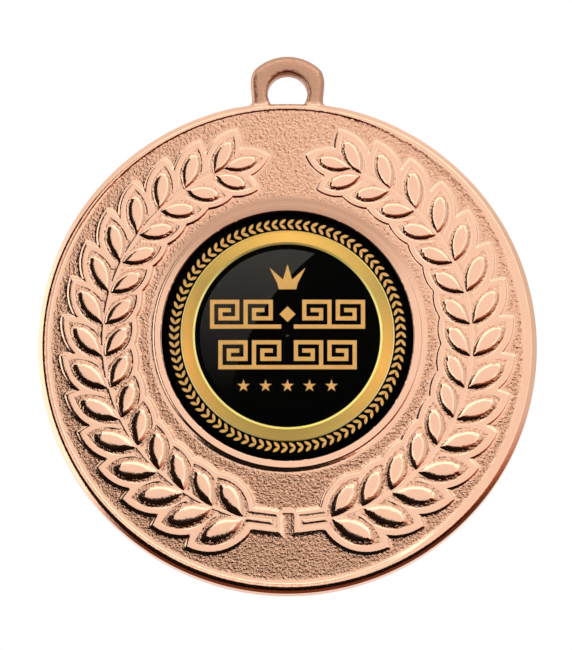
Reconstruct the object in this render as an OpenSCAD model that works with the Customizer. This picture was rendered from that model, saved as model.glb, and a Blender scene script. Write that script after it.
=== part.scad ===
// Award medal: a one-piece cast body with a wreath in relief and a hanging loop,
// and a round centre insert under a clear resin dome.
//
// The medal is drawn lying on its back, with the front face up (+Z) and the loop
// towards +Y, and upright() then stands it up: front towards -Y, loop towards +Z.
// The origin is the middle of the loop's eye, where the medal hangs.

/* [Body] */
// Diameter of the medal
medal_d = 50; // [49:0.5:54]
// Thickness of the medal at its rim
rim_t = 3; // [2.8:0.1:4]
// Width of the raised rim
rim_w = 0.95; // [0.8:0.05:1.2]
// Depth of the field below the rim, on the front
field_depth = 0.5; // [0.4:0.05:0.7]
// Depth of the plain back below its own rim
back_depth = 0.2; // [0.1:0.05:0.4]

/* [Loop] */
// Width of the loop
loop_w = 7.44; // [7:0.1:9]
// Height of the loop's top above the edge of the medal
loop_h = 4.75; // [4.3:0.05:4.8]
// Thickness of the loop
loop_t = 2.4; // [2:0.1:2.8]
// Width of the loop's eye
eye_w = 4; // [3.6:0.1:4.4]
// Height of the loop's eye, from its flat sill to its top
eye_h = 3.1; // [2.9:0.05:3.4]

/* [Wreath] */
// Number of leaf pairs on each branch
leaf_pairs = 15; // [10:1:16]
// Radius of the circle that both stems follow
stem_r = 18.5; // [18.2:0.1:18.7]
// Height of that circle's middle above the medal's
stem_rise = 0.53; // [0:0.05:0.7]
// Angle of the topmost leaf pair from the vertical
branch_start = 23.9; // [22:0.5:30]
// Angle from one leaf pair to the next
branch_step = 10.19; // [9:0.1:10.2]
// Height of the leaves above the field
leaf_h = 0.5; // [0.3:0.05:0.6]

/* [Centre] */
// Diameter of the centre insert
insert_d = 25.3; // [24.9:0.1:25.4]
// Height of the insert's middle above the medal's
insert_rise = 1.05; // [0.6:0.05:1.2]
// Height of the clear dome above the insert
dome_h = 0.5; // [0.3:0.05:0.8]
// Number of chevrons in the printed laurel band
chevrons = 90; // [60:1:96]
// Number of stars in the printed row
stars = 5; // [3:1:5]

/* [Hidden] */
$fn = 96;

bronze = [0.86, 0.62, 0.48];
gold = [0.85, 0.65, 0.30];
ink = [0.02, 0.02, 0.02];

// Heights above the body's middle plane.
front_z = rim_t / 2;
back_z = -rim_t / 2;
field_z = front_z - field_depth;
seat_z = front_z - 0.15;

// Body
medal_r = medal_d / 2;
edge_chamfer = 0.4;
rim_cove = 0.45;
rim_in_r = medal_r - rim_w;

// Loop: two rounded shoulders and a flatter crown, on two legs that narrow a little.
eye_r = eye_w / 2;
eye_y = medal_r + 0.95;
eye_sill_y = eye_y + eye_r - eye_h;
loop_top_y = medal_r + loop_h;
shoulder_r = 2.75;
crown_r = 4.7;
foot_w = loop_w - 0.5;
foot_y = medal_r - 1;

// Wreath: the lowest leaves are the largest. A leaf is a lens, [length, width].
outer_leaf = [[3.7, 1.35], [4.7, 1.8]];
inner_leaf = [[3.3, 1.25], [4.1, 1.7]];
tip_leaf = [3.5, 1.2];
tip_shift = [-0.2, 1.25];
outer_splay = 40;
inner_splay = 42;
tip_turn = -8;
leaf_gap = 0.25;
leaf_root = 0.3;
leaf_crown_r = 6;
halo_w = 0.9;
halo_h = 0.14;
stem_w = 0.34;
stem_h = 0.26;
stem_tail = 6;

// Centre seat and the pieces stacked in it.
insert_r = insert_d / 2;
seat_gap = 0.05;
seat_r = insert_r + seat_gap;
seat_ring_w = 0.7;
floor_z = front_z - 1.05;
pad_r = insert_r - 0.5;
pad_t = 0.1;
disc_t = 0.6;
disc_z = floor_z + pad_t;
print_z = disc_z + disc_t;
print_t = 0.02;
foil_t = 0.03;
foil_top_z = print_z + print_t + foil_t;

// Printed artwork, measured from the insert's middle.
ring_out_r = 10.72;
ring_in_r = 9.3;
laurel_r = 11.37;
chevron_leaf = [0.82, 0.32];
chevron_splay = 38;
gloss_r = 8.78;
crown_y = 4.7;
key_cell = 0.42;
key_rows = 7;
key_unit = 8;
upper_y = 0.69;
lower_y = -3.43;
lozenge_r = 0.8;
star_y = -5.12;
star_r = 0.66;
star_pitch = 2.2;

// Clear dome
dome_r = insert_r - 0.1;
dome_edge_h = 0.12;
dome_seal_w = 0.4;
dome_cap_r = (dome_r ^ 2 + dome_h ^ 2) / (2 * dome_h);
dome_steps = 12;

// Stands the medal up and brings the loop's eye to the origin.
module upright() {
    rotate([90, 0, 0]) translate([0, -eye_y, 0]) children();
}

module at_insert(z) {
    translate([0, insert_rise, z]) children();
}

module slab(r, z, t) {
    translate([0, 0, z]) cylinder(r = r, h = t);
}

// A pointed leaf outline that starts at the origin and points along +Y. grow moves
// the outline outwards on every side and keeps its two points sharp.
module lens(size, grow = 0) {
    half = size[0] / 2;
    arc_r = (half ^ 2 + (size[1] / 2) ^ 2) / size[1];
    arc_x = arc_r - size[1] / 2;
    translate([0, half]) intersection() {
        translate([arc_x, 0]) circle(r = arc_r + grow);
        translate([-arc_x, 0]) circle(r = arc_r + grow);
    }
}

// A leaf that is highest in its middle and falls towards both tips.
module crowned_leaf(size) {
    intersection() {
        translate([0, 0, field_z - leaf_root]) linear_extrude(leaf_root + leaf_h) lens(size);
        translate([0, size[0] / 2, field_z + leaf_h - leaf_crown_r]) sphere(r = leaf_crown_r);
    }
}

function leaf_angle(i) = branch_start + i * branch_step;
function leaf_size(ends, i) = ends[0] + (ends[1] - ends[0]) * i / (leaf_pairs - 1);

// Puts children at junction i of the left branch, with +Y towards the branch's tip
// and -X away from the medal's middle.
module at_junction(i) {
    translate([0, stem_rise, 0]) rotate(leaf_angle(i)) translate([0, stem_r, 0]) rotate(-90) children();
}

module leaf_places() {
    for (i = [0 : leaf_pairs - 1]) at_junction(i) children();
}

module outer_place() {
    rotate(outer_splay) translate([0, leaf_gap, 0]) children();
}

module inner_place() {
    rotate(-inner_splay) translate([0, leaf_gap, 0]) children();
}

module tip_place() {
    at_junction(0) translate(tip_shift) rotate(tip_turn) children();
}

module branch_leaves() {
    for (i = [0 : leaf_pairs - 1]) at_junction(i) {
        outer_place() crowned_leaf(leaf_size(outer_leaf, i));
        inner_place() crowned_leaf(leaf_size(inner_leaf, i));
    }
    tip_place() crowned_leaf(tip_leaf);
}

// The raised border that follows the leaves' outline.
module branch_halo() {
    for (i = [0 : leaf_pairs - 1]) at_junction(i) {
        outer_place() lens(leaf_size(outer_leaf, i), halo_w);
        inner_place() lens(leaf_size(inner_leaf, i), halo_w);
    }
    tip_place() lens(tip_leaf, halo_w);
}

module branch_stem() {
    first = leaf_angle(0);
    last = leaf_angle(leaf_pairs - 1) + stem_tail;
    translate([0, stem_rise, field_z - leaf_root])
        rotate(first + 90)
            rotate_extrude(angle = last - first)
                translate([stem_r - stem_w / 2, 0]) square([stem_w, leaf_root + stem_h]);
}

module branch() {
    branch_leaves();
    branch_stem();
    translate([0, 0, field_z - leaf_root]) linear_extrude(leaf_root + halo_h) branch_halo();
}

// The plain disc with its rim, turned about its own middle.
module blank() {
    rotate_extrude() polygon([
        [0, back_z + back_depth],
        [rim_in_r - back_depth, back_z + back_depth],
        [rim_in_r, back_z],
        [medal_r - edge_chamfer, back_z],
        [medal_r, back_z + edge_chamfer],
        [medal_r, front_z - edge_chamfer],
        [medal_r - edge_chamfer, front_z],
        [rim_in_r, front_z],
        [rim_in_r - rim_cove, field_z],
        [0, field_z]
    ]);
}

module seat_ring() {
    at_insert(0) slab(seat_r + seat_ring_w, 0, seat_z);
}

module loop_outline() {
    intersection() {
        union() {
            for (side = [-1, 1])
                translate([side * (loop_w / 2 - shoulder_r), loop_top_y - shoulder_r]) circle(r = shoulder_r);
            translate([shoulder_r - loop_w / 2, foot_y]) square([loop_w - 2 * shoulder_r, loop_top_y - foot_y]);
            polygon([
                [-foot_w / 2, foot_y], [foot_w / 2, foot_y],
                [loop_w / 2, loop_top_y - shoulder_r], [-loop_w / 2, loop_top_y - shoulder_r]
            ]);
        }
        union() {
            translate([0, loop_top_y - crown_r]) circle(r = crown_r);
            translate([-loop_w / 2, foot_y]) square([loop_w, eye_y - foot_y]);
        }
    }
}

module loop_eye() {
    intersection() {
        translate([0, eye_y, back_z - 1]) cylinder(r = eye_r, h = rim_t + 2);
        translate([-eye_r, eye_sill_y, back_z - 1]) cube([eye_w, eye_h, rim_t + 2]);
    }
}

module medal_body() {
    color(bronze) upright() difference() {
        union() {
            blank();
            seat_ring();
            branch();
            mirror([1, 0, 0]) branch();
            translate([0, 0, -loop_t / 2]) linear_extrude(loop_t) loop_outline();
        }
        at_insert(0) slab(seat_r, floor_z, rim_t);
        loop_eye();
    }
}

module adhesive_pad() {
    color("gainsboro") upright() at_insert(0) slab(pad_r, floor_z, pad_t);
}

module insert_disc() {
    color(ink) upright() at_insert(0) slab(insert_r, disc_z, disc_t);
}

module gloss_print() {
    color([0.15, 0.15, 0.16]) upright() at_insert(0) slab(gloss_r, print_z, print_t);
}

// Foil on the disc itself is as high as foil on the print, so the dome meets both.
module foil_on_disc() {
    color(gold) upright() at_insert(print_z) linear_extrude(foil_top_z - print_z) children();
}

module foil_on_print() {
    color(gold) upright() at_insert(print_z + print_t) linear_extrude(foil_t) children();
}

module gold_ring() {
    foil_on_disc() difference() {
        circle(r = ring_out_r);
        circle(r = ring_in_r);
    }
}

module foil_laurel() {
    foil_on_disc() for (i = [0 : chevrons - 1])
        rotate(i * 360 / chevrons) translate([laurel_r, chevron_leaf[0] / 2])
            for (side = [-1, 1]) rotate(180 + side * chevron_splay) lens(chevron_leaf);
}

module foil_crown() {
    foil_on_print() translate([0, crown_y]) polygon([
        [-0.88, 0], [0.88, 0], [1.02, 0.6], [1.8, 2.2], [0.46, 0.98],
        [0, 2.54], [-0.46, 0.98], [-1.8, 2.2], [-1.02, 0.6]
    ]);
}

// A bar of the key pattern, from one cell of its grid to another.
module key_bar(from, to) {
    translate(from * key_cell)
        square([to[0] - from[0] + 1, to[1] - from[1] + 1] * key_cell);
}

// One turn of the key: up, over, down, back and up again, on a running base line.
module key_turn() {
    top = key_rows - 1;
    key_bar([0, 0], [key_unit, 0]);
    key_bar([0, 0], [0, top]);
    key_bar([0, top], [6, top]);
    key_bar([6, 2], [6, top]);
    key_bar([2, 2], [6, 2]);
    key_bar([2, 2], [2, 4]);
    key_bar([2, 4], [4, 4]);
}

// Two key turns on each side of the middle, mirrored, with a gap between them.
module key_band(gap_cells) {
    for (side = [0, 1]) mirror([side, 0]) translate([-(gap_cells / 2 + 2 * key_unit) * key_cell, 0]) {
        for (i = [0, 1]) translate([i * key_unit * key_cell, 0]) key_turn();
    }
}

module foil_key_band_upper() {
    foil_on_print() translate([0, upper_y]) {
        key_band(5);
        translate([0, key_rows * key_cell / 2]) circle(r = lozenge_r, $fn = 4);
    }
}

module foil_key_band_lower() {
    foil_on_print() translate([0, lower_y]) key_band(1);
}

module star(r) {
    waist = r * sin(18) / sin(54);
    polygon([for (i = [0 : 9]) (i % 2 == 0 ? r : waist) * [sin(36 * i), cos(36 * i)]]);
}

module foil_stars() {
    foil_on_print() for (i = [0 : stars - 1])
        translate([(i - (stars - 1) / 2) * star_pitch, star_y]) star(star_r);
}

// The dome seals against the disc at its edge and lies on the foil inside that.
// Its top is one shallow arc, from the middle out to the edge.
module clear_dome() {
    crown_z = dome_edge_h + dome_h - dome_cap_r;
    half_angle = asin(dome_r / dome_cap_r);
    arc = [for (i = [0 : dome_steps]) let (a = half_angle * i / dome_steps)
        [dome_cap_r * sin(a), crown_z + dome_cap_r * cos(a)]];
    color([0.9, 0.95, 1, 0.3]) upright() at_insert(print_z) difference() {
        rotate_extrude() polygon(concat(arc, [[dome_r, 0], [0, 0]]));
        slab(dome_r - dome_seal_w, -1, 1 + foil_top_z - print_z);
    }
}

medal_body();
adhesive_pad();
insert_disc();
gloss_print();
gold_ring();
foil_laurel();
foil_crown();
foil_key_band_upper();
foil_key_band_lower();
foil_stars();
clear_dome();
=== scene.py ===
"""Looks for the award medal: a fine relief body, foil artwork under a clear dome, and a plain studio.

Shapes are written in the medal's own plane, in millimetres: x to the right, y up from the middle
of the disc and z towards the viewer. to_frame() turns that into the frame, in metres.
"""

import math

import bpy
import numpy as np
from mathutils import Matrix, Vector
from mathutils.geometry import delaunay_2d_cdt


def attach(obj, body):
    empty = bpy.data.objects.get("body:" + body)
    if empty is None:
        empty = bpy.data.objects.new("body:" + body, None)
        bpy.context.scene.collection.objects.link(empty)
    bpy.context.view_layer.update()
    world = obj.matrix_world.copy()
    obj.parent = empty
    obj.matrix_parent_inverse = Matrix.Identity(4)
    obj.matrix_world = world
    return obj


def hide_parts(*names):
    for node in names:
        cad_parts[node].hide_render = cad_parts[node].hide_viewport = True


SEED = 7
MM = 0.001
EYE_Y = 25.95

# Body, in millimetres
MEDAL_R = 25.0
FRONT_Z = 1.5
FIELD_Z = 1.15
RIM_Z = 1.36
BEVEL_D = 0.66
BEVEL_SHOULDER = 0.5
BEVEL_SLOPE = 1.15
RIM_IN_R = 24.25
RIM_STEP_R = 24.11
SOFT_STEP = 1.2
COVE_H = 0.07
FIELD_LIFT = 0.07
COVE_R = 23.72
FIELD_END_R = 24.2
BACK_RECESS = 0.2
BACK_RIM_R = 24.05

# Loop, in millimetres
LOOP_W = 7.44
LOOP_TOP_Y = 29.75
LOOP_Z = 1.2
LOOP_EDGE = 0.85
LOOP_DROP = 0.5
LOOP_CENTRE = (0.0, 24.9)
LOOP_FOOT = (3.54, 24.748)
LOOP_START_R = 24.5
LOOP_REACH_X = 5.0
LOOP_BLEND = (24.45, 24.95)
SHOULDER_R = 2.75
CROWN_R = 4.7
FOOT_W = 6.94
FOOT_Y = 24.0
EYE_R = 2.0
EYE_SILL_Y = 24.85
EYE_EDGE = 0.6
EYE_DROP = 0.45

# Wreath, in millimetres and degrees
WREATH_Y = 0.53
STEM_R = 18.5
PAIRS = 15
BRANCH_START = 23.9
BRANCH_STEP = 10.19
OUTER = dict(turn=40.0, length=(3.85, 4.85), width=(1.35, 1.8))
INNER = dict(turn=-42.0, length=(3.45, 4.25), width=(1.25, 1.7))
LEAF_GAP = 0.1
TIP_LEAF = dict(turn=-8.0, length=3.5, width=1.2, along=1.25, out=0.2)
LEAF_CROWN_H = (0.25, 0.36)
BLADE_STRETCH = 1.14
BLADE_WIDEN = 1.33
TIP_ROUND = 0.16
OUTER_SPREAD = (1.0, 1.3)
INNER_SPREAD = (1.0, 1.12)
STEM_H = (0.04, 0.045)
STEM_HALF = 0.2
TAIL_H = 0.14
TAIL_HALF = 0.3
TAIL_END_X = 1.45
TAIL_R = 18.36
STRIP_HALF = 0.52
BRIDGE_Y = (-16.92, -16.34)

# The border round the leaves: distances from a leaf's outline, and heights
FLOOR_H = 0.14
BAND_H = 0.19
STEP_IN = (0.33, 0.43)
STEP_OUT = (0.78, 1.08)
STEP_BEND = 0.12

# Centre seat and insert
SEAT_Y = 1.05
SEAT_R = 12.7
SEAT_Z = 1.35
SEAT_RING_R = 13.4
SEAT_STEP = 0.18
SEAT_SLOPE_R = 14.15
SEAT_SLOPE_H = 0.06
SEAT_FLOOR_Z = 0.45
PRINT_Z = 1.15
RING_IN_R = 9.3
RING_OUT_R = 10.72

# Sandblasted grain: size of the mesh on the field, height, and amount at each place
GRAIN = 0.31
GRAIN_H = 0.005
COARSE_TOP = 0.36
COARSE_LOW = 0.34
COARSE_RIGHT = 0.04
LEAF_FLOOR_GRAIN = 0.65
LOOP_GRAIN = 0.12
BACK_GRAIN = 0.05
# Darker, duller tone painted by position on the upper part of the ring round the seat
RING_DULL_TONE = 0.9

# How far from a leaf's outline the mesh has lines of points: outside it and inside it
BORDER_LEVELS = (0.04, 0.16, 0.28, 0.33, 0.38, 0.43, 0.49, 0.78, 0.84, 0.9, 0.99, 1.08)
BLADE_LEVELS = (0.0, 0.04, 0.08, 0.13, 0.22, 0.34, 0.48, 0.64)
TAIL_LEVELS = (-0.13, -0.06, 0.0, 0.06, *STEP_IN, *STEP_OUT)

# Camera, in metres and degrees
VIEW_ELEVATION = -10.0
CAMERA_AIM = (-0.000154, 0.0, -0.0236)
CAMERA_DISTANCE = 0.7
CAMERA_LENS = 385.95

# Studio, in metres
FLOOR_PLACE_Z = -0.15
FLOOR_HALF = 6
LIGHT_PLACE = (0, -0.6, 0.15)
LIGHT_TARGET = (0, 0, -0.026)
LIGHT_SIZE = (0.9, 0.94)
WARM_WHITE = (1.0, 0.92, 0.85)

# The dark card, in millimetres from the middle of the medal
CARD_DISTANCE = 62.0
CARD_CORNERS = [
    (-34.0, 70.0), (-112.0, 70.0), (-112.0, -40.0), (-300.0, -200.0), (-300.0, -300.0),
    (243.0, -300.0), (243.0, -150.0), (40.0, -46.0), (-10.0, -26.0), (-34.0, -14.0),
]

rng = np.random.default_rng(SEED)


def to_frame(x, y, z):
    """Medal plane in millimetres to the frame in metres."""
    return np.stack([x, -z, y - EYE_Y], axis=-1) * MM


def smoothstep(a, b, v):
    t = np.clip((v - a) / (b - a), 0.0, 1.0)
    return t * t * (3 - 2 * t)


def ramp(a, b, v):
    return np.clip((v - a) / (b - a), 0.0, 1.0)


# ---------------------------------------------------------------- wreath layout


def make_lens(base, direction, length, width):
    """A pointed outline: two arcs of one radius between its base and its tip."""
    half = length / 2
    radius = (half**2 + (width / 2) ** 2) / width
    side = np.array([-direction[1], direction[0]])
    middle = base + direction * half
    shift = radius - width / 2
    centres = (middle + side * shift, middle - side * shift)
    return dict(
        middle=middle, direction=direction, side=side, half=half,
        radius=radius, shift=shift, centres=centres,
    )


def make_leaf(base, direction, length, width, height, spread=1.0):
    """A leaf with a pointed base and a blunt tip, and the pointed outline that its border follows.

    spread widens that border.
    """
    blade = make_lens(base, direction, length * BLADE_STRETCH, width * BLADE_WIDEN)
    tip_r = length * TIP_ROUND
    tip_place = base + direction * (length - tip_r)
    lens = make_lens(base, direction, length, width)
    return dict(
        lens=lens, blade=blade, tip_r=tip_r, tip_place=tip_place,
        half_width=width * BLADE_WIDEN / 2, height=height, spread=spread,
        power=2 + smoothstep(-14, 6, base[1]),
    )


def junction(i, side):
    """Place, direction towards the branch's tip, and direction away from the middle."""
    a = math.radians(BRANCH_START + i * BRANCH_STEP)
    out = np.array([side * math.sin(a), math.cos(a)])
    along = np.array([-side * math.cos(a), math.sin(a)])
    return np.array([0.0, WREATH_Y]) + STEM_R * out, along, out


def turned(along, out, degrees):
    a = math.radians(degrees)
    return along * math.cos(a) + out * math.sin(a)


def make_leaves():
    leaves = []
    for side in (-1, 1):
        for i in range(PAIRS):
            share = i / (PAIRS - 1)
            place, along, out = junction(i, side)
            height = np.interp(share, (0, 1), LEAF_CROWN_H)
            for kind, spreads in ((OUTER, OUTER_SPREAD), (INNER, INNER_SPREAD)):
                d = turned(along, out, kind["turn"])
                length = np.interp(share, (0, 1), kind["length"])
                width = np.interp(share, (0, 1), kind["width"])
                spread = np.interp(share, (0, 1), spreads)
                leaves.append(make_leaf(place + d * LEAF_GAP, d, length, width, height, spread))
        place, along, out = junction(0, side)
        base = place + along * TIP_LEAF["along"] + out * TIP_LEAF["out"]
        d = turned(along, out, TIP_LEAF["turn"])
        leaves.append(make_leaf(base, d, TIP_LEAF["length"], TIP_LEAF["width"], LEAF_CROWN_H[0]))
    return leaves


LEAVES = make_leaves()


def lens_distance(lens, p):
    """Negative inside. Outlines at one distance keep the two points sharp."""
    a = np.hypot(*(p - lens["centres"][0]).T)
    b = np.hypot(*(p - lens["centres"][1]).T)
    return np.maximum(a, b) - lens["radius"]


def border_distance(leaf, p):
    return np.maximum(lens_distance(leaf["lens"], p), 0) / leaf["spread"]


def blade_depth(leaf, p):
    """How deep each point is inside the leaf's blunt outline, negative outside."""
    q = p - leaf["tip_place"]
    past = q @ leaf["lens"]["direction"] > 0
    cap = np.where(past, np.hypot(*q.T) - leaf["tip_r"], -9.0)
    return -np.maximum(lens_distance(leaf["blade"], p), cap)


def blade_rise(leaf, p):
    """A rounded leaf: steep at its outline, flat along its middle, flatter high on the wreath."""
    depth = np.maximum(blade_depth(leaf, p), 0)
    crown = 1 - (1 - np.clip(depth / leaf["half_width"], 0, 1)) ** leaf["power"]
    return leaf["height"] * crown


def stem_distance(p):
    q = p - np.array([0.0, WREATH_Y])
    r = np.hypot(q[:, 0], q[:, 1])
    angle = np.degrees(np.arctan2(np.abs(q[:, 0]), q[:, 1]))
    last = BRANCH_START + (PAIRS - 1) * BRANCH_STEP
    beyond = np.maximum(BRANCH_START - angle, angle - last) * math.radians(1) * STEM_R
    return np.maximum(np.abs(r - STEM_R) - STEM_HALF, beyond)


def tail_distance(p):
    """The straight end of each stem at the bottom of the wreath."""
    last, _, _ = junction(PAIRS - 1, 1)
    middle_x = (last[0] + TAIL_END_X) / 2
    half_x = (last[0] - TAIL_END_X) / 2
    dx = np.abs(np.abs(p[:, 0]) - middle_x) - half_x
    slope = (last[1] - (WREATH_Y - TAIL_R)) / (2 * half_x)
    line = WREATH_Y - TAIL_R + slope * (np.abs(p[:, 0]) - TAIL_END_X)
    dy = np.abs(p[:, 1] - line) - TAIL_HALF
    return np.maximum(dx, dy)


def wreath_field(p):
    """Distance out from the nearest leaf or stem, and how far each point rises as one of them."""
    distance = np.full(len(p), 9.0)
    rise = np.zeros(len(p))
    for leaf in LEAVES:
        near = np.hypot(*(p - leaf["lens"]["middle"]).T) < leaf["lens"]["half"] + 2.4
        q = p[near]
        distance[near] = np.minimum(distance[near], border_distance(leaf, q))
        rise[near] = np.maximum(rise[near], blade_rise(leaf, q))
    low = smoothstep(0, -36, p[:, 1])
    stem_h = STEM_H[0] + (STEM_H[1] - STEM_H[0]) * low
    for s, height in ((stem_distance(p), stem_h), (tail_distance(p), TAIL_H)):
        wall = 1 - (1 - ramp(0, STEM_HALF, -s)) ** 2
        distance = np.minimum(distance, np.maximum(s, 0))
        rise = np.maximum(rise, height * wall)
    return distance, rise


# ---------------------------------------------------------------- outlines


def loop_inside(x, y):
    x = np.abs(x)
    corner_y = LOOP_TOP_Y - SHOULDER_R
    corner_x = LOOP_W / 2 - SHOULDER_R
    shoulder = np.hypot(x - corner_x, y - corner_y) <= SHOULDER_R
    middle = (x <= corner_x) & (y <= LOOP_TOP_Y)
    leg = (y <= corner_y) & (x <= np.interp(y, (FOOT_Y, corner_y), (FOOT_W / 2, LOOP_W / 2)))
    crown = np.hypot(x, y - (LOOP_TOP_Y - CROWN_R)) <= CROWN_R
    return (shoulder | middle | leg) & (crown | (y <= EYE_Y))


def loop_curve(count=150):
    """The loop's outside, from its right foot over the top to its left foot."""
    centre = np.array(LOOP_CENTRE)
    foot = np.array(LOOP_FOOT)
    start = math.atan2(foot[1] - centre[1], foot[0])
    a = np.linspace(start, math.pi - start, count)
    lo = np.full(count, 0.5)
    hi = np.full(count, 6.0)
    for _ in range(40):
        mid = (lo + hi) / 2
        inside = loop_inside(centre[0] + mid * np.cos(a), centre[1] + mid * np.sin(a))
        lo, hi = np.where(inside, mid, lo), np.where(inside, hi, mid)
    return centre + np.stack([lo * np.cos(a), lo * np.sin(a)], 1)


def bend(a, b, c, count=6):
    """A small rounded corner from a to c, with b as the corner itself."""
    t = np.linspace(0, 1, count + 2)[1:-1, None]
    return (1 - t) ** 2 * a + 2 * t * (1 - t) * b + t**2 * c


def medal_outline():
    """The whole outside, anticlockwise, starting at the loop's right foot."""
    loop = loop_curve()
    loop = loop[loop[:, 1] > 25.25]
    foot = np.array(LOOP_FOOT)
    gap = math.radians(90) - math.atan2(foot[1], foot[0] + 0.5)
    a = np.linspace(math.pi / 2 + gap, math.pi / 2 + 2 * math.pi - gap, 620)
    arc = MEDAL_R * np.stack([np.cos(a), np.sin(a)], 1)
    left = bend(loop[-1], foot * (-1, 1), arc[0])
    right = bend(arc[-1], foot, loop[0])
    return np.concatenate([loop, left, arc, right])


def eye_outline(count=84):
    a = np.linspace(0, 2 * math.pi, count, endpoint=False)
    p = np.stack([EYE_R * np.cos(a), EYE_Y + EYE_R * np.sin(a)], 1)
    low = p[:, 1] < EYE_SILL_Y
    p[low, 1] = EYE_SILL_Y
    return p


def circle(r, centre_y=0.0, step=0.2, count=None):
    count = count or int(2 * math.pi * r / step)
    a = np.linspace(0, 2 * math.pi, count, endpoint=False)
    return np.stack([r * np.cos(a), centre_y + r * np.sin(a)], 1)


def segment_distance(p, a, b):
    ab = b - a
    t = np.clip(((p - a) @ ab) / (ab @ ab), 0, 1)
    return np.hypot(*(p - a - t[:, None] * ab).T)


def polyline_distance(p, line, longest=math.inf):
    """Distance from each point to a closed polyline, but not to segments longer than longest."""
    best = np.full(len(p), 1e9)
    for a, b in zip(line, np.roll(line, -1, 0)):
        if math.dist(a, b) < longest:
            best = np.minimum(best, segment_distance(p, a, b))
    return best


def polyline_inside(p, line):
    inside = np.zeros(len(p), bool)
    for a, b in zip(line, np.roll(line, -1, 0)):
        if a[1] == b[1]:
            continue
        crosses = (a[1] > p[:, 1]) != (b[1] > p[:, 1])
        x = a[0] + (p[:, 1] - a[1]) * (b[0] - a[0]) / (b[1] - a[1])
        inside ^= crosses & (p[:, 0] < x)
    return inside


def offset(line, d):
    """A closed anticlockwise polyline moved inwards by d."""
    tangent = np.roll(line, -1, 0) - np.roll(line, 1, 0)
    tangent /= np.hypot(*tangent.T)[:, None]
    return line + d * np.stack([-tangent[:, 1], tangent[:, 0]], 1)


OUTLINE = medal_outline()
EYE = eye_outline()


def near_loop(p):
    return (p[:, 1] > 21.5) & (np.abs(p[:, 0]) < 6.5)


def edge_distance(p):
    """Distance in from the outside of the medal, loop included."""
    d = MEDAL_R - np.hypot(p[:, 0], p[:, 1])
    close = near_loop(p)
    line = OUTLINE[near_loop(OUTLINE)]
    d[close] = polyline_distance(p[close], line, longest=2)
    return d


# ---------------------------------------------------------------- heights


def rounded(d, width, drop):
    """How far an edge falls at a distance d in from it: a quarter ellipse."""
    t = np.clip(1 - d / width, 0, 1)
    return drop * (1 - np.sqrt(1 - t**2))


def border_height(s):
    """Height of the field round a leaf, at a distance s from the leaf."""
    up = FLOOR_H + (BAND_H - FLOOR_H) * ramp(*STEP_IN, s)
    start, end = STEP_OUT
    bent = ramp(start, start + STEP_BEND, s) ** 2 * STEP_BEND / 2
    straight = np.clip(s - start - STEP_BEND, 0, end - start - STEP_BEND)
    return up * (1 - (bent + straight) / (end - start - STEP_BEND / 2))


def bridge_share(p, x_from, x_to):
    """1 on the plain band at the bottom of the wreath, falling to 0 between two half widths."""
    x = 1 - smoothstep(STRIP_HALF + x_from, STRIP_HALF + x_to, np.abs(p[:, 0]))
    low = smoothstep(BRIDGE_Y[0] - 0.1, BRIDGE_Y[0], p[:, 1])
    high = 1 - smoothstep(BRIDGE_Y[1], BRIDGE_Y[1] + 0.1, p[:, 1])
    return x * low * high


def bevel_drop(d):
    """How far the outer edge falls: a soft shoulder and then a straight bevel."""
    bent = np.clip((BEVEL_D - d) / BEVEL_SHOULDER, 0, 1)
    straight = np.clip(BEVEL_D - BEVEL_SHOULDER - d, 0, None)
    return BEVEL_SLOPE * (BEVEL_SHOULDER * bent**2 / 2 + straight)


def rim_height(r, d, x):
    """The raised rim: its inner step is sharp, and soft only on the right of the medal."""
    right = smoothstep(0.15, 0.85, x / np.maximum(r, 1))
    cove_h = COVE_H * (1 - right)
    cove = cove_h * ramp(COVE_R, RIM_STEP_R, r) ** 2
    step = (RIM_Z - FIELD_Z - cove_h) * smoothstep(RIM_STEP_R - SOFT_STEP * right, RIM_IN_R, r)
    return cove + step - bevel_drop(d)


def seat_height(r, y):
    """The raised ring round the insert, with a step and a slope outside it, steeper at the bottom."""
    low = smoothstep(-7, -12, y)
    slope_h = SEAT_SLOPE_H + SEAT_SLOPE_H * low
    foot = SEAT_RING_R + SEAT_STEP
    slope = slope_h * (1 - smoothstep(foot, SEAT_SLOPE_R - 0.3 * low, r))
    ring = (SEAT_Z - FIELD_Z - slope_h) * (1 - smoothstep(SEAT_RING_R - 0.05, foot, r))
    crown = -0.05 * ramp(0.3, 0, r - SEAT_R) ** 2
    return slope + ring + crown


def grain_amount(p, s):
    """1 on the sandblasted field, 0 on the smooth parts."""
    r = np.hypot(p[:, 0], p[:, 1])
    seat = np.hypot(p[:, 0], p[:, 1] - SEAT_Y)
    reach = COVE_R + 0.36 * smoothstep(6, 20, p[:, 1])
    field = (1 - smoothstep(reach - 0.1, reach, r)) * smoothstep(14.0, 14.2, seat)
    field = field * smoothstep(STEP_OUT[1] - 0.03, STEP_OUT[1] + 0.06, s)
    field = field * (1 - bridge_share(p, -0.05, 0.05))
    low = smoothstep(9, -16, p[:, 1])
    right = smoothstep(2, 20, p[:, 0])
    coarse = COARSE_TOP + COARSE_LOW * low + COARSE_RIGHT * right
    floor = smoothstep(0.04, 0.1, s) * (1 - smoothstep(STEP_IN[0] - 0.06, STEP_IN[0], s))
    return np.maximum(field * coarse, LEAF_FLOOR_GRAIN * coarse * floor)


def dull_tone_amount(p, front):
    """How much darker, duller tone is painted on by position: 1 on the loop, less on the upper part of the
    ring round the seat, 0 elsewhere.

    front is 1 on the front face and 0 on the back, which has no such ring.
    """
    seat = np.hypot(p[:, 0], p[:, 1] - SEAT_Y)
    ring = front * (1 - smoothstep(14.0, 14.3, seat)) * smoothstep(4, 13, p[:, 1])
    r = np.hypot(p[:, 0], p[:, 1])
    return np.maximum(smoothstep(24.8, 25.3, r) * near_loop(p), RING_DULL_TONE * ring)


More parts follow.
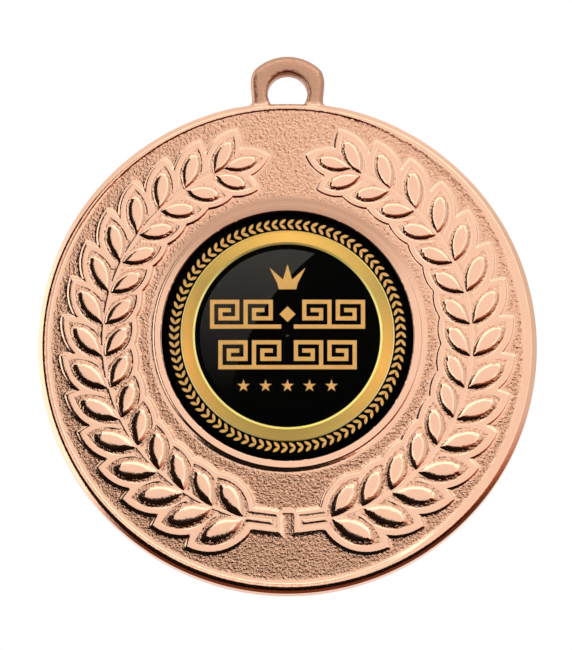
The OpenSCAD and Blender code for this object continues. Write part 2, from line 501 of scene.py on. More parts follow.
def with_loop(p, r, d, z):
    """Heights z with the loop's own rounded shape over the rim, and how much of each point is loop."""
    loop = smoothstep(*LOOP_BLEND, r) * near_loop(p) * (np.abs(p[:, 0]) < LOOP_REACH_X)
    eye = np.full(len(p), 9.0)
    close = near_loop(p)
    eye[close] = polyline_distance(p[close], EYE)
    loop_z = LOOP_Z - rounded(d, LOOP_EDGE, LOOP_DROP) - rounded(eye, EYE_EDGE, EYE_DROP)
    return z * (1 - loop) + loop_z * loop, loop


def front_shape(p):
    """Height of the front over the middle plane, and the amount of grain, at each point."""
    r = np.hypot(p[:, 0], p[:, 1])
    seat = np.hypot(p[:, 0], p[:, 1] - SEAT_Y)
    d = edge_distance(p)
    s, rise = wreath_field(p)
    clear = smoothstep(13.5, 14.2, seat)
    bridge = BAND_H * bridge_share(p, 0.1, 0.3)
    z = FIELD_Z + rise + np.maximum(border_height(s) * clear, bridge)
    z = z + rim_height(r, d, p[:, 0]) + seat_height(seat, p[:, 1])
    shallow = FIELD_Z + FIELD_LIFT * smoothstep(-6, 18, p[:, 0] + p[:, 1])
    z = np.where((r < FIELD_END_R) & (seat > SEAT_R), np.maximum(z, shallow), z)
    z, loop = with_loop(p, r, d, z)
    return z, grain_amount(p, s) * (1 - loop) + LOOP_GRAIN * loop


def back_shape(p):
    """Depth of the back under the middle plane, at each point."""
    r = np.hypot(p[:, 0], p[:, 1])
    d = edge_distance(p)
    rim = BACK_RECESS * smoothstep(BACK_RIM_R - 0.2, BACK_RIM_R, r)
    z = FRONT_Z - BACK_RECESS + rim - bevel_drop(d)
    z, _ = with_loop(p, r, d, z)
    return z


# ---------------------------------------------------------------- points


def lens_contour(lens, s, step=0.15):
    """The outline at a distance s from a lens, as two arcs that meet in sharp points."""
    r = lens["radius"] + s
    if r <= lens["shift"]:
        return []
    reach = math.sqrt(r**2 - lens["shift"] ** 2)
    spread = math.asin(reach / r)
    count = max(3, int(2 * spread * r / step) + 1)
    a = np.linspace(-spread, spread, count)
    arcs = []
    for sign in (1, -1):
        centre = lens["middle"] - sign * lens["side"] * lens["shift"]
        arc = centre + r * (np.outer(np.sin(a), lens["direction"]) + sign * np.outer(np.cos(a), lens["side"]))
        arcs.append(arc)
    return arcs


def blade_contour(leaf, depth):
    """The leaf's blunt outline, moved in by depth."""
    arcs = lens_contour(leaf["blade"], -depth, 0.13)
    r = leaf["tip_r"] - depth
    if r > 0.05:
        a = np.linspace(-math.pi / 2, math.pi / 2, max(5, int(math.pi * r / 0.12)))
        lens = leaf["lens"]
        cap = np.outer(np.cos(a), lens["direction"]) + np.outer(np.sin(a), lens["side"])
        arcs.append(leaf["tip_place"] + r * cap)
    return [arc[np.abs(blade_depth(leaf, arc) - depth) < 0.006] for arc in arcs]


def spine_points(leaf):
    """A line of points along the leaf's middle."""
    lens = leaf["lens"]
    v = np.linspace(-0.95, 0.62, 22) * lens["half"]
    return lens["middle"] + np.outer(v, lens["direction"])


def stem_lines():
    """Lines along both stems and their tails."""
    lines = []
    first = math.radians(BRANCH_START)
    last = math.radians(BRANCH_START + (PAIRS - 1) * BRANCH_STEP)
    a = np.arange(first, last, 0.15 / STEM_R)
    for side in (-1, 1):
        for share in (-1, -0.66, -0.33, 0, 0.33, 0.66, 1):
            r = STEM_R + STEM_HALF * share
            lines.append(np.stack([side * r * np.sin(a), WREATH_Y + r * np.cos(a)], 1))
    return lines


def tail_lines():
    """Lines round the straight end of each stem, at several distances from its outline."""
    place, _, _ = junction(PAIRS - 1, 1)
    x = np.arange(TAIL_END_X, place[0] - 0.3, 0.15)
    slope = (place[1] - (WREATH_Y - TAIL_R)) / (place[0] - TAIL_END_X)
    y = WREATH_Y - TAIL_R + slope * (x - TAIL_END_X)
    lines = []
    for level in TAIL_LEVELS:
        x0 = TAIL_END_X - level
        if level < 0:
            xs = np.concatenate([[x0], x[x > x0 + 0.05]])
        else:
            xs = np.concatenate([np.arange(x0, TAIL_END_X, 0.15), x])
        ys = WREATH_Y - TAIL_R + slope * (xs - TAIL_END_X)
        low = ys - TAIL_HALF - level
        high = ys + TAIL_HALF + level
        end = np.linspace(low[0], high[0], max(3, int((high[0] - low[0]) / 0.15)))
        for side in (-1, 1):
            lines.append(np.stack([side * xs, low], 1))
            lines.append(np.stack([side * xs, high], 1))
            lines.append(np.stack([np.full(len(end) - 2, side * x0), end[1:-1]], 1))
    return lines


def bridge_lines():
    x = np.linspace(-0.7, 0.7, 11)
    edge = (BRIDGE_Y[0] - 0.1, BRIDGE_Y[0], BRIDGE_Y[1], BRIDGE_Y[1] + 0.1)
    return [np.stack([x, np.full_like(x, y)], 1) for y in edge]


def wreath_points():
    lines = stem_lines() + tail_lines() + bridge_lines()
    for leaf in LEAVES:
        for depth in BLADE_LEVELS:
            if depth < leaf["half_width"] - 0.04:
                lines += blade_contour(leaf, depth)
        lines.append(spine_points(leaf))
    contours = []
    levels = []
    for leaf in LEAVES:
        for level in BORDER_LEVELS:
            for arc in lens_contour(leaf["lens"], level * leaf["spread"]):
                contours.append(arc)
                levels.append(np.full(len(arc), level))
    around = np.concatenate(contours)
    s, _ = wreath_field(around)
    return np.concatenate(lines + [around[s > np.concatenate(levels) - 0.012]])


def on_loop(p):
    return near_loop(p) & (np.hypot(*p.T) > LOOP_START_R) & (np.abs(p[:, 0]) < LOOP_REACH_X)


def ring_points():
    """Rings on the rim's steps and bevel and on the seat. Close rings have one count, so they line up."""
    rings = [circle(r, count=1080) for r in (RIM_STEP_R, 24.145, 24.18, 24.215, RIM_IN_R)]
    rings += [circle(r) for r in (COVE_R, 23.84, 23.95)]
    bevel = (0.08, 0.16, 0.25, 0.34, 0.42, 0.5, 0.58, BEVEL_D)
    rings += [circle(MEDAL_R - d, count=900) for d in bevel]
    rings += [circle(r, SEAT_Y, count=780) for r in (13.35, 13.41, 13.47, 13.53, 13.59)]
    seat = (12.76, 12.83, 12.92, 13.02, 13.2, 13.76, 13.95, SEAT_SLOPE_R)
    rings += [circle(r, SEAT_Y) for r in seat]
    points = np.concatenate(rings)
    return points[~on_loop(points)]


def loop_points():
    lines = [offset(OUTLINE, d) for d in (0.05, 0.12, 0.2, 0.3, 0.42, 0.55, 0.75)]
    lines += [offset(EYE, -d) for d in (0.04, 0.1, 0.18, 0.3, 0.5)]
    arcs = [circle(r, step=0.12) for r in (24.55, 24.65, 24.75, 24.85, 24.95)]
    points = np.concatenate(lines + arcs)
    return points[on_loop(points) & (points[:, 1] > FIELD_END_R)]


def hexagons(step, radius):
    """Points on a six-sided grid, each a little off its place."""
    n = int(radius / step) + 2
    i, j = np.meshgrid(np.arange(-n, n + 1), np.arange(-int(n * 1.2), int(n * 1.2) + 1))
    x = (i + 0.5 * (j % 2)) * step
    y = j * step * math.sqrt(3) / 2
    p = np.stack([x.ravel(), y.ravel()], 1)
    return p + rng.uniform(-0.18, 0.18, p.shape) * step


def crowded(cells, x, y, gap):
    """Whether one of the points kept in a grid of cells is within gap of (x, y)."""
    cx = int(x // gap)
    cy = int(y // gap)
    return any(
        (qx - x) ** 2 + (qy - y) ** 2 < gap * gap
        for ax in (cx - 1, cx, cx + 1)
        for ay in (cy - 1, cy, cy + 1)
        for qx, qy in cells.get((ax, ay), ())
    )


def keep_in_cell(cells, x, y, gap):
    cells.setdefault((int(x // gap), int(y // gap)), []).append((x, y))


def thin(points, gap):
    """Drops a point that has an earlier point within gap of it."""
    cells = {}
    kept = []
    for k, (x, y) in enumerate(points.tolist()):
        if not crowded(cells, x, y, gap):
            keep_in_cell(cells, x, y, gap)
            kept.append(k)
    return points[kept]


def away_from(points, others, gap):
    """Points that are at least gap from every one of others."""
    cells = {}
    for x, y in others.tolist():
        keep_in_cell(cells, x, y, gap)
    return points[[not crowded(cells, x, y, gap) for x, y in points.tolist()]]


# ---------------------------------------------------------------- body mesh


def triangulate(points, loops):
    """Constrained triangles over points and closed loops. Gives points, triangles, loop indices."""
    everything = np.concatenate([points] + loops)
    edges = []
    start = len(points)
    for loop in loops:
        n = len(loop)
        edges += [(start + k, start + (k + 1) % n) for k in range(n)]
        start += n
    found = delaunay_2d_cdt([Vector(p) for p in everything], edges, [], 0, 1e-5)
    co = np.array([tuple(v) for v in found[0]])
    tris = np.array([t for t in found[2] if len(t) == 3])
    new_of = {}
    for new, origins in enumerate(found[3]):
        for old in origins:
            new_of[old] = new
    start = len(points)
    index = []
    for loop in loops:
        index.append([new_of[start + k] for k in range(len(loop))])
        start += len(loop)
    return co, tris, index


def in_metal(p, with_seat):
    """Whether points lie on the medal: inside its outline, outside the eye and the seat."""
    inside = np.hypot(p[:, 0], p[:, 1]) < MEDAL_R
    close = near_loop(p)
    inside[close] = polyline_inside(p[close], OUTLINE) & ~polyline_inside(p[close], EYE)
    if with_seat:
        inside &= np.hypot(p[:, 0], p[:, 1] - SEAT_Y) > SEAT_R - 0.002
    return inside


def face_up(co, tris):
    """The same triangles, all anticlockwise."""
    a = co[tris[:, 0]]
    ab = co[tris[:, 1]] - a
    ac = co[tris[:, 2]] - a
    turn = ab[:, 0] * ac[:, 1] - ab[:, 1] * ac[:, 0]
    flipped = tris.copy()
    flipped[turn < 0] = flipped[turn < 0][:, ::-1]
    return flipped


def front_layer():
    seat = circle(SEAT_R, SEAT_Y, 0.2)
    border = np.concatenate([OUTLINE, EYE, seat])
    features = thin(np.concatenate([ring_points(), loop_points(), wreath_points()]), 0.035)
    features = away_from(features, border, 0.03)
    fill = hexagons(GRAIN, 30)
    fill = away_from(fill, np.concatenate([features, border]), GRAIN * 0.62)
    points = np.concatenate([features, fill])
    points = points[in_metal(points, True)]
    co, tris, index = triangulate(points, [OUTLINE, EYE, seat])
    middle = co[tris].mean(1)
    tris = face_up(co, tris[in_metal(middle, True)])
    z, grain = front_shape(co)
    z = z + grain * rng.normal(0, GRAIN_H, len(co))
    return co, z, grain, tris, index


def back_layer():
    lines = [offset(OUTLINE, d) for d in (0.08, 0.2, 0.3, 0.4)]
    lines += [offset(EYE, -d) for d in (0.1, 0.3)]
    lines += [circle(BACK_RIM_R - d, count=480) for d in (0.0, 0.1, 0.2)]
    features = thin(np.concatenate(lines), 0.05)
    border = np.concatenate([OUTLINE, EYE])
    features = away_from(features, border, 0.04)
    fill = away_from(hexagons(0.7, 30), np.concatenate([features, border]), 0.4)
    points = np.concatenate([features, fill])
    points = points[in_metal(points, False)]
    co, tris, index = triangulate(points, [OUTLINE, EYE])
    middle = co[tris].mean(1)
    tris = face_up(co, tris[in_metal(middle, False)])
    return co, -back_shape(co), tris[:, ::-1], index


def strip(a, b):
    """Quads between two closed loops of vertex indices, facing away from their middle."""
    n = len(a)
    return [(a[k], b[k], b[(k + 1) % n], a[(k + 1) % n]) for k in range(n)]


def body_mesh():
    """The body's points in the frame, its faces, and each point's grain and painted dull tone."""
    front, front_z, grain, tris, (f_out, f_eye, f_seat) = front_layer()
    back, back_z, back_tris, (b_out, b_eye) = back_layer()
    shift = len(front)
    floor = circle(SEAT_R, SEAT_Y, 0.2)
    floor_start = shift + len(back)
    centre = floor_start + len(floor)
    x = np.concatenate([front[:, 0], back[:, 0], floor[:, 0], [0.0]])
    y = np.concatenate([front[:, 1], back[:, 1], floor[:, 1], [SEAT_Y]])
    z = np.concatenate([front_z, back_z, np.full(len(floor) + 1, SEAT_FLOOR_Z)])
    faces = [tuple(t) for t in tris.tolist()]
    faces += [tuple(v + shift for v in t) for t in back_tris.tolist()]
    faces += strip(f_out, [v + shift for v in b_out])
    faces += [f[::-1] for f in strip(f_eye, [v + shift for v in b_eye])]
    ring = [floor_start + k for k in range(len(floor))]
    faces += [f[::-1] for f in strip(f_seat, ring)]
    faces += [(centre, ring[k], ring[(k + 1) % len(ring)]) for k in range(len(ring))]
    marks = np.concatenate([grain, np.full(len(back), BACK_GRAIN), np.zeros(len(floor) + 1)])
    dull = dull_tone_amount(np.stack([x, y], 1), z > 0)
    return to_frame(x, y, z), faces, marks, dull


def mesh_object(name, co, faces, material, sharp=40):
    mesh = bpy.data.meshes.new(name)
    mesh.from_pydata([tuple(v) for v in co], [], faces)
    mesh.validate()
    mesh.update()
    mesh.shade_smooth()
    mesh.set_sharp_from_angle(angle=math.radians(sharp))
    mesh.materials.append(material)
    obj = bpy.data.objects.new(name, mesh)
    bpy.context.scene.collection.objects.link(obj)
    return obj


# ---------------------------------------------------------------- materials


class Nodes:
    """Short calls for building the nodes of a material or world."""

    def __init__(self, owner, shader):
        owner.use_nodes = True
        self.owner = owner
        self.tree = owner.node_tree
        self.shader = self.tree.nodes[shader]

    def add(self, kind, **values):
        node = self.tree.nodes.new(kind)
        for key, value in values.items():
            setattr(node, key, value)
        return node

    def link(self, out, socket):
        self.tree.links.new(out, socket)

    def put(self, node, key, value):
        if hasattr(value, "is_output"):
            self.link(value, node.inputs[key])
        else:
            node.inputs[key].default_value = value

    def math(self, operation, a, b=0.0, c=0.0, clamp=False):
        node = self.add("ShaderNodeMath", operation=operation, use_clamp=clamp)
        for k, value in enumerate((a, b, c)):
            self.put(node, k, value)
        return node.outputs[0]

    def step(self, value, low, high, to_low=0.0, to_high=1.0):
        node = self.add("ShaderNodeMapRange", interpolation_type="SMOOTHSTEP")
        for key, v in enumerate((value, low, high, to_low, to_high)):
            self.put(node, key, v)
        return node.outputs[0]

    def mix(self, factor, a, b):
        node = self.add("ShaderNodeMix", data_type="RGBA")
        self.put(node, 0, factor)
        self.put(node, 6, a)
        self.put(node, 7, b)
        return node.outputs[2]

    def place(self):
        return self.add("ShaderNodeTexCoord").outputs["Object"]

    def noise(self, size_mm, detail=2.0, roughness=0.5):
        node = self.add("ShaderNodeTexNoise")
        self.link(self.place(), node.inputs["Vector"])
        self.put(node, "Scale", 1.0 / (size_mm * MM))
        self.put(node, "Detail", detail)
        self.put(node, "Roughness", roughness)
        return node.outputs["Fac"]

    def bump(self, height, distance_mm, strength=1.0, normal=None):
        node = self.add("ShaderNodeBump")
        self.put(node, "Strength", strength)
        self.put(node, "Distance", distance_mm * MM)
        self.put(node, "Height", height)
        if normal is not None:
            self.link(normal, node.inputs["Normal"])
        return node.outputs["Normal"]

    def ramp(self, factor, stops):
        node = self.add("ShaderNodeValToRGB")
        ramp = node.color_ramp
        while len(ramp.elements) < len(stops):
            ramp.elements.new(0.5)
        for element, (at, colour) in zip(ramp.elements, stops):
            element.position = at
            element.color = (*colour, 1.0)
        self.link(factor, node.inputs[0])
        return node.outputs[0]


def material_nodes(name):
    return Nodes(bpy.data.materials.new(name), "Principled BSDF")


def rgb(r, g, b):
    """A display colour from 0 to 255 as the linear colour that the shader takes."""
    return tuple(
        ((v / 255 + 0.055) / 1.055) ** 2.4 if v > 10 else v / 255 / 12.92
        for v in (r, g, b)
    )


def rgba(r, g, b):
    return (*rgb(r, g, b), 1.0)


def bronze_material():
    """Rose bronze: smooth on the relief, matt, darker tan and pitted on the grain with painted shade in the
    pits, and a darker, duller tone painted by position on the loop and the upper seat ring.
    """
    n = material_nodes("rose_bronze")
    grain = n.add("ShaderNodeAttribute", attribute_name="grain").outputs["Fac"]
    tone = n.noise(2.6, 3.0)
    fine = n.noise(0.29, 1.8, 0.6)
    # Painted shade in the grain's pits: the colour darkens where the fine bump dips
    pit_shade = n.math("MULTIPLY", n.step(fine, 0.52, 0.36), grain)
    smooth = n.mix(tone, rgba(240, 196, 171), rgba(248, 207, 181))
    matt = n.math("MULTIPLY", grain, 2.2, clamp=True)
    # A darker tan on the grained field
    grain_tone = n.mix(matt, smooth, rgba(220, 176, 149))
    colour = n.mix(n.math("MULTIPLY", pit_shade, 0.6), grain_tone, rgba(130, 94, 72))
    rough = n.math("ADD", 0.12, n.math("MULTIPLY", grain, 0.06))
    rough = n.math("ADD", rough, n.math("MULTIPLY", tone, 0.05))
    # Darker, duller tone painted by position on the loop and the upper seat ring
    dull_tone = n.add("ShaderNodeAttribute", attribute_name="dull_tone").outputs["Fac"]
    rough = n.math("ADD", rough, n.math("MULTIPLY", dull_tone, 0.16))
    colour = n.mix(n.math("MULTIPLY", dull_tone, 0.85), colour, rgba(186, 145, 122))
    n.link(colour, n.shader.inputs["Base Color"])
    n.link(rough, n.shader.inputs["Roughness"])
    n.shader.inputs["Metallic"].default_value = 1.0
    soft = n.bump(n.noise(0.9, 2.0), 0.01, 0.5)
    level = n.math("SUBTRACT", fine, 0.5)
    coarse = n.math("MULTIPLY", n.math("ADD", grain, 0.03), level)
    n.link(n.bump(coarse, 0.36, 1.0, soft), n.shader.inputs["Normal"])
    return n.owner


def length_of(n, x, y):
    squares = n.math("ADD", n.math("MULTIPLY", x, x), n.math("MULTIPLY", y, y))
    return n.math("SQRT", squares)


def insert_place(n):
    """x and y from the insert's middle, in millimetres."""
    split = n.add("ShaderNodeSeparateXYZ")
    n.link(n.place(), split.inputs[0])
    x = n.math("MULTIPLY", split.outputs[0], 1000.0)
    y = n.math("ADD", n.math("MULTIPLY", split.outputs[2], 1000.0), EYE_Y - SEAT_Y)
    return x, y


# Painted reflection on the gold ring round the insert: its tones from the bottom (0) clockwise back to the
# bottom (1)
GOLD_LOW = rgb(168, 138, 58)
GOLD_OLIVE = rgb(186, 154, 72)
GOLD_DEEP = rgb(250, 182, 82)
GOLD_BRIGHT = rgb(252, 196, 92)
GOLD_RING_REFLECTION_TONES = [
    (0.0, GOLD_LOW), (0.09, GOLD_OLIVE), (0.22, GOLD_DEEP), (0.34, GOLD_OLIVE), (0.5, GOLD_BRIGHT),
    (0.68, GOLD_OLIVE), (0.8, GOLD_DEEP), (0.92, GOLD_OLIVE), (1.0, GOLD_LOW),
]
# Painted highlights and shade on the inner bevel, by angle round the ring
INNER_BEVEL_PAINTED_LIGHT = [
    (0.0, rgb(255, 236, 128)), (0.3, rgb(255, 240, 150)), (0.42, rgb(150, 128, 62)),
    (0.5, rgb(150, 128, 62)), (0.6, rgb(176, 160, 80)), (0.72, rgb(255, 246, 150)),
    (1.0, rgb(255, 236, 128)),
]
# Painted highlights and shade on the outer bevel, by angle round the ring
OUTER_BEVEL_PAINTED_LIGHT = [
    (0.0, rgb(150, 120, 40)), (0.2, rgb(255, 250, 190)), (0.35, rgb(255, 236, 130)),
    (0.5, rgb(232, 184, 90)), (0.62, rgb(255, 236, 130)), (0.8, rgb(255, 250, 190)),
    (1.0, rgb(150, 120, 40)),
]


def gold_material():
    """Gold foil with painted reflection: its tone turns round the insert, and its two bevels get painted
    highlights and shade.
    """
    n = material_nodes("gold_foil_ring")
    x, y = insert_place(n)
    angle = n.math("DIVIDE", n.math("ARCTAN2", x, y), 2 * math.pi)
    turn = n.math("ADD", angle, 0.5)
    # Painted reflection: the ring's tone turns with the angle round the insert
    colour = n.ramp(turn, GOLD_RING_REFLECTION_TONES)
    fleck = n.noise(0.12, 3.0, 0.6)
    colour = n.mix(n.math("MULTIPLY", fleck, 0.2), colour, rgba(250, 214, 130))
    radius = length_of(n, x, y)
    # Painted highlights and shade on the two bevels
    inner = n.step(radius, RING_IN_R + 0.26, RING_IN_R + 0.2)
    colour = n.mix(inner, colour, n.ramp(turn, INNER_BEVEL_PAINTED_LIGHT))
    outer = n.step(radius, RING_OUT_R - 0.12, RING_OUT_R - 0.07)
    colour = n.mix(outer, colour, n.ramp(turn, OUTER_BEVEL_PAINTED_LIGHT))
    n.link(colour, n.shader.inputs["Base Color"])
    n.shader.inputs["Metallic"].default_value = 0.55
    n.link(n.math("ADD", 0.34, n.math("MULTIPLY", fleck, 0.1)), n.shader.inputs["Roughness"])
    n.link(n.bump(fleck, 0.004, 0.4), n.shader.inputs["Normal"])
    return n.owner


def foil_material():
    """The printed motifs' gold foil."""
    n = material_nodes("gold_foil_motif")
    tone = n.noise(0.7, 2.0)
    colour = n.mix(tone, rgba(226, 178, 96), rgba(240, 198, 118))
    n.link(colour, n.shader.inputs["Base Color"])
    n.shader.inputs["Metallic"].default_value = 0.5
    n.link(n.math("ADD", 0.32, n.math("MULTIPLY", tone, 0.12)), n.shader.inputs["Roughness"])
    n.link(n.bump(n.noise(0.1, 2.0), 0.003, 0.4), n.shader.inputs["Normal"])
    return n.owner


# The grey area on the insert's black: the centre and radii of its curved edge, and its tones from the bottom
# up
GREY_AREA_CENTRE = (17.06, -9.72)
GREY_AREA_EDGE = (22.98, 23.12)
GREY_AREA_TONES = [
    (0.0, (0.0004, 0.0004, 0.0004)), (0.2, rgb(12, 12, 13)), (0.5, rgb(56, 56, 57)), (1.0, rgb(94, 94, 92)),
]


def print_material():
    """Black, with a soft grey area in its upper left part that grows lighter towards the top, up to a curved
    edge.
    """
    n = material_nodes("black_ink_with_grey_area")
    x, y = insert_place(n)
    dx = n.math("SUBTRACT", x, GREY_AREA_CENTRE[0])
    dy = n.math("SUBTRACT", y, GREY_AREA_CENTRE[1])
    beyond = n.step(length_of(n, dx, dy), *GREY_AREA_EDGE)
    height = n.math("DIVIDE", n.math("ADD", y, 9.0), 18.0, clamp=True)
    grey = n.ramp(height, GREY_AREA_TONES)
    speck = n.noise(0.3, 2.0)
    black = n.mix(speck, (0.0004, 0.0006, 0.0004, 1), (0.0009, 0.0009, 0.0009, 1))
    n.link(n.mix(beyond, black, grey), n.shader.inputs["Base Color"])
    n.shader.inputs["Specular IOR Level"].default_value = 0.1
    n.link(n.math("ADD", 0.3, n.math("MULTIPLY", speck, 0.1)), n.shader.inputs["Roughness"])
    return n.owner


def black_material():
    """The insert's black disc."""
    n = material_nodes("black_disc")
    speck = n.noise(0.25, 3.0)
    colour = n.mix(speck, (0.0004, 0.0006, 0.0004, 1), (0.0012, 0.0012, 0.001, 1))
    n.link(colour, n.shader.inputs["Base Color"])
    n.shader.inputs["Specular IOR Level"].default_value = 0.1
    n.link(n.math("ADD", 0.35, n.math("MULTIPLY", speck, 0.1)), n.shader.inputs["Roughness"])
    n.link(n.bump(speck, 0.004, 0.3), n.shader.inputs["Normal"])
    return n.owner


def pad_material():
    """White foam of the adhesive pad."""
    n = material_nodes("foam_pad")
    cells = n.noise(0.3, 3.0)
    n.link(n.mix(cells, rgba(206, 206, 200), rgba(232, 232, 228)), n.shader.inputs["Base Color"])
    n.shader.inputs["Roughness"].default_value = 0.8
    n.link(n.bump(cells, 0.03, 0.5), n.shader.inputs["Normal"])
    return n.owner


def resin_material():
    """Clear resin: glass to the eye, open to the lights so that the print below stays lit."""
    n = material_nodes("clear_resin")
    ripple = n.noise(3.0, 2.0)
    n.shader.inputs["Base Color"].default_value = (1, 1, 1, 1)
    n.shader.inputs["Transmission Weight"].default_value = 1.0
    n.shader.inputs["IOR"].default_value = 1.5
    n.link(n.math("MULTIPLY", ripple, 0.04), n.shader.inputs["Roughness"])
    n.link(n.bump(ripple, 0.01, 0.15), n.shader.inputs["Normal"])
    clear = n.add("ShaderNodeBsdfTransparent")
    blend = n.add("ShaderNodeMixShader")
    n.link(n.add("ShaderNodeLightPath").outputs["Is Shadow Ray"], blend.inputs[0])
    n.link(n.shader.outputs[0], blend.inputs[1])
    n.link(clear.outputs[0], blend.inputs[2])
    n.link(blend.outputs[0], n.tree.nodes["Material Output"].inputs[0])
    return n.owner


def dress(node, material):
    """Gives a carried-over CAD node its material."""
    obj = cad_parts[node]
    obj.data.materials.clear()
    obj.data.materials.append(material)


# ---------------------------------------------------------------- ring piece


def lathe(name, profile, centre_y, material, count=360):
    """A closed ring from a closed profile of (radius, height) points."""
    a = np.linspace(0, 2 * math.pi, count, endpoint=False)
    m = len(profile)
    rows = [
        to_frame(r * np.cos(a), centre_y + r * np.sin(a), np.full(count, z))
        for r, z in profile
    ]
    co = np.concatenate(rows)
    faces = []
    for j in range(m):
        for k in range(count):
            b = (j + 1) % m
            c = (k + 1) % count
            faces.append((j * count + k, b * count + k, b * count + c, j * count + c))
    return mesh_object(name, co, faces, material, sharp=25)


def make_ring():
    """The gold ring: a flat band with a raised bevel at both of its edges."""
    low = PRINT_Z
    mid = PRINT_Z + 0.028
    top = PRINT_Z + 0.048
    profile = [
        (RING_IN_R, low), (RING_OUT_R, low), (RING_OUT_R, mid), (10.68, top), (10.62, top),
        (10.58, mid), (9.54, mid), (9.48, top), (9.40, top), (RING_IN_R, mid),
    ]
    ring = lathe("gold_ring_foil", profile, SEAT_Y, gold_material())
    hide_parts("gold_ring")
    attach(ring, "root")


# ---------------------------------------------------------------- stage


def look_at(obj, target):
    obj.rotation_mode = "QUATERNION"
    obj.rotation_quaternion = (Vector(target) - obj.location).to_track_quat("-Z", "Y")


def make_camera():
    elevation = math.radians(VIEW_ELEVATION)
    aim = Vector(CAMERA_AIM)
    camera = bpy.data.objects.new("camera", bpy.data.cameras.new("camera"))
    bpy.context.scene.collection.objects.link(camera)
    camera.data.lens = CAMERA_LENS
    camera.data.sensor_width = 36.0
    camera.data.clip_start = 0.01
    camera.data.clip_end = 20.0
    away = Vector((0, -math.cos(elevation), math.sin(elevation)))
    camera.location = aim + away * CAMERA_DISTANCE
    look_at(camera, aim)
    bpy.context.scene.camera = camera


def make_dark_card():
    """A dark board in front of the medal, low on its left: it is seen only in reflections."""
    mesh = bpy.data.meshes.new("dark_card")
    co = [(x * MM, -CARD_DISTANCE * MM, (y - EYE_Y) * MM) for x, y in CARD_CORNERS]
    mesh.from_pydata(co, [], [tuple(range(len(co)))])
    obj = bpy.data.objects.new("dark_card", mesh)
    bpy.context.scene.collection.objects.link(obj)
    n = material_nodes("dark_card")
    n.shader.inputs["Base Color"].default_value = (0.012, 0.008, 0.005, 1.0)
    n.shader.inputs["Roughness"].default_value = 1.0
    n.shader.inputs["Specular IOR Level"].default_value = 0.0
    mesh.materials.append(n.owner)
    obj.visible_camera = False


def make_floor():
    """The pale floor. Reflections don't show it."""
    mesh = bpy.data.meshes.new("floor")
    h = FLOOR_HALF
    mesh.from_pydata([(-h, -h, 0), (h, -h, 0), (h, h, 0), (-h, h, 0)], [], [(0, 1, 2, 3)])
    obj = bpy.data.objects.new("floor", mesh)
    bpy.context.scene.collection.objects.link(obj)
    obj.location = (0, 0, FLOOR_PLACE_Z)
    n = material_nodes("pale_floor")
    tone = n.noise(40.0, 2.0)
    n.link(n.mix(tone, rgba(246, 246, 246), rgba(250, 250, 250)), n.shader.inputs["Base Color"])
    n.shader.inputs["Roughness"].default_value = 0.9
    mesh.materials.append(n.owner)
    obj.visible_glossy = False


def soft_light(name, radiance, colour=(1.0, 1.0, 1.0)):
    """The one large soft light in front, of this brightness and colour."""
    width, height = LIGHT_SIZE
    light = bpy.data.lights.new(name, "AREA")
    light.shape = "RECTANGLE"
    light.size = width
    light.size_y = height
    light.energy = radiance * width * height * math.pi
    light.color = colour
    obj = bpy.data.objects.new(name, light)
    bpy.context.scene.collection.objects.link(obj)
    obj.location = LIGHT_PLACE
    look_at(obj, LIGHT_TARGET)
    obj.visible_camera = False
    return obj


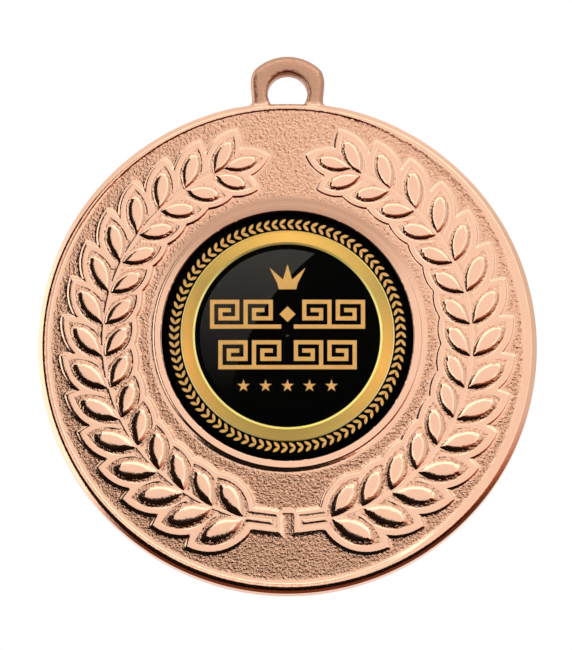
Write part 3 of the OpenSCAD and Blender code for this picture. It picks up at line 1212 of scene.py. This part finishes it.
def make_world():
    """White to the camera. To the medal it is bright above, dim below and dark behind the camera."""
    world = bpy.data.worlds.new("studio")
    bpy.context.scene.world = world
    n = Nodes(world, "Background")
    way = n.add("ShaderNodeTexCoord").outputs["Generated"]
    split = n.add("ShaderNodeSeparateXYZ")
    n.link(way, split.inputs[0])
    x, y, z = split.outputs
    lift = n.math("MULTIPLY", n.math("MAXIMUM", n.math("SUBTRACT", -0.3, x), 0.0), 0.5)
    level = n.step(n.math("ADD", z, lift), -0.55, -0.12, 0.18, 1.0)
    left = n.step(x, -0.92, -0.72, 1.7, 1.0)
    right = n.step(x, 0.4, 0.9, 1.0, 0.8)
    level = n.math("MULTIPLY", level, n.math("MULTIPLY", left, right))
    warm = n.step(n.math("MULTIPLY_ADD", lift, 1.6, z), -0.5, 0.0)
    tint = n.mix(warm, (1.0, 0.3, 0.14, 1), (*WARM_WHITE, 1))
    ahead = n.add("ShaderNodeVectorMath", operation="DOT_PRODUCT")
    n.link(way, ahead.inputs[0])
    elevation = math.radians(VIEW_ELEVATION)
    ahead.inputs[1].default_value = (0, -math.cos(elevation), -math.sin(elevation))
    wide = math.cos(math.radians(34))
    narrow = math.cos(math.radians(27))
    hole = n.step(ahead.outputs["Value"], wide, narrow, 1.0, 0.0)
    level = n.math("MULTIPLY", level, hole)
    seen = n.add("ShaderNodeLightPath").outputs["Is Camera Ray"]
    n.link(n.mix(seen, tint, (1, 1, 1, 1)), n.shader.inputs["Color"])
    unseen = n.math("SUBTRACT", 1.0, seen)
    strength = n.math("ADD", n.math("MULTIPLY", level, unseen), seen)
    n.link(strength, n.shader.inputs["Strength"])


def link_light(light, receivers):
    """The light reaches only these pieces."""
    group = bpy.data.collections.new(light.name + "_receivers")
    for obj in receivers:
        group.objects.link(obj)
    light.light_linking.receiver_collection = group


def make_lights(metal, foil):
    """One soft light, slightly stronger for the gold foil than for the body."""
    link_light(soft_light("front_softbox", 1.05, WARM_WHITE), metal)
    through_dome = soft_light("foil_softbox", 1.3)
    through_dome.data.cycles.use_multiple_importance_sampling = False
    link_light(through_dome, foil)


# ---------------------------------------------------------------- build

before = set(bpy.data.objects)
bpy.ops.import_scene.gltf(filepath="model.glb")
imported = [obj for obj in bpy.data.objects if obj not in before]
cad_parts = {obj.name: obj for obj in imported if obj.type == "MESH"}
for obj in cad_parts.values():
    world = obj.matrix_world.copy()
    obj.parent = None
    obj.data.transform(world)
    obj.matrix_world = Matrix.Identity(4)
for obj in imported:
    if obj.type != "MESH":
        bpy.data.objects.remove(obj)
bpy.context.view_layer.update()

make_camera()
bronze = bronze_material()
co, faces, marks, dull = body_mesh()
body = mesh_object("medal_casting", co, faces, bronze)
# The second attribute is the darker, duller tone painted by position on the loop and the upper seat ring
for name, values in (("grain", marks), ("dull_tone", dull)):
    layer = body.data.attributes.new(name, "FLOAT", "POINT")
    layer.data.foreach_set("value", values.astype(np.float32))
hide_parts("medal_body")
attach(body, "root")

make_ring()
foil = foil_material()
for node in ("foil_laurel", "foil_crown", "foil_key_band_upper", "foil_key_band_lower", "foil_stars"):
    dress(node, foil)
dress("gloss_print", print_material())
dress("insert_disc", black_material())
dress("adhesive_pad", pad_material())
dress("clear_dome", resin_material())

make_floor()
make_world()
gold_pieces = [bpy.data.objects["gold_ring_foil"]]
gold_pieces += [o for name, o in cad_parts.items() if name.startswith("foil_")]
make_lights([body], gold_pieces)
make_dark_card()
bpy.context.scene.view_settings.view_transform = "Standard"
